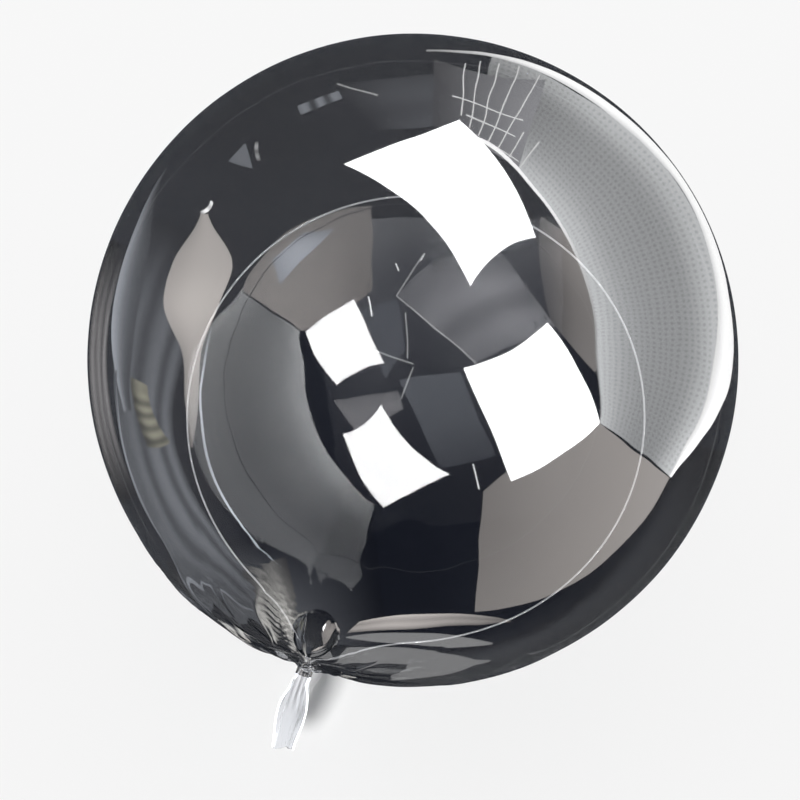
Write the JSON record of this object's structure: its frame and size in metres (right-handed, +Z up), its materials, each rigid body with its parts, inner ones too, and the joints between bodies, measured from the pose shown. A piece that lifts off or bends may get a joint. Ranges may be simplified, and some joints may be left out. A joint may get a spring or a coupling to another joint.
{
  "type": "bubble balloon",
  "caption": "Large round see-through film balloon, blown up and sealed, with a welded seam, a gathered neck and a flat filling stem; lies on a small flat spot.",
  "frame": {"origin": "middle of the small flat spot under the bubble, on the surface it lies on", "axes": "+Z up, -Y towards the side the neck leans to, +X to the right seen from there"},
  "size_m": [0.5593, 0.5693, 0.5584],
  "materials": {
    "smoke_film": "see-through smoke-grey stretch film, very glossy"
  },
  "bodies": {
    "root": {"bubble_balloon": "smoke_film"}
  },
  "joints": []
}
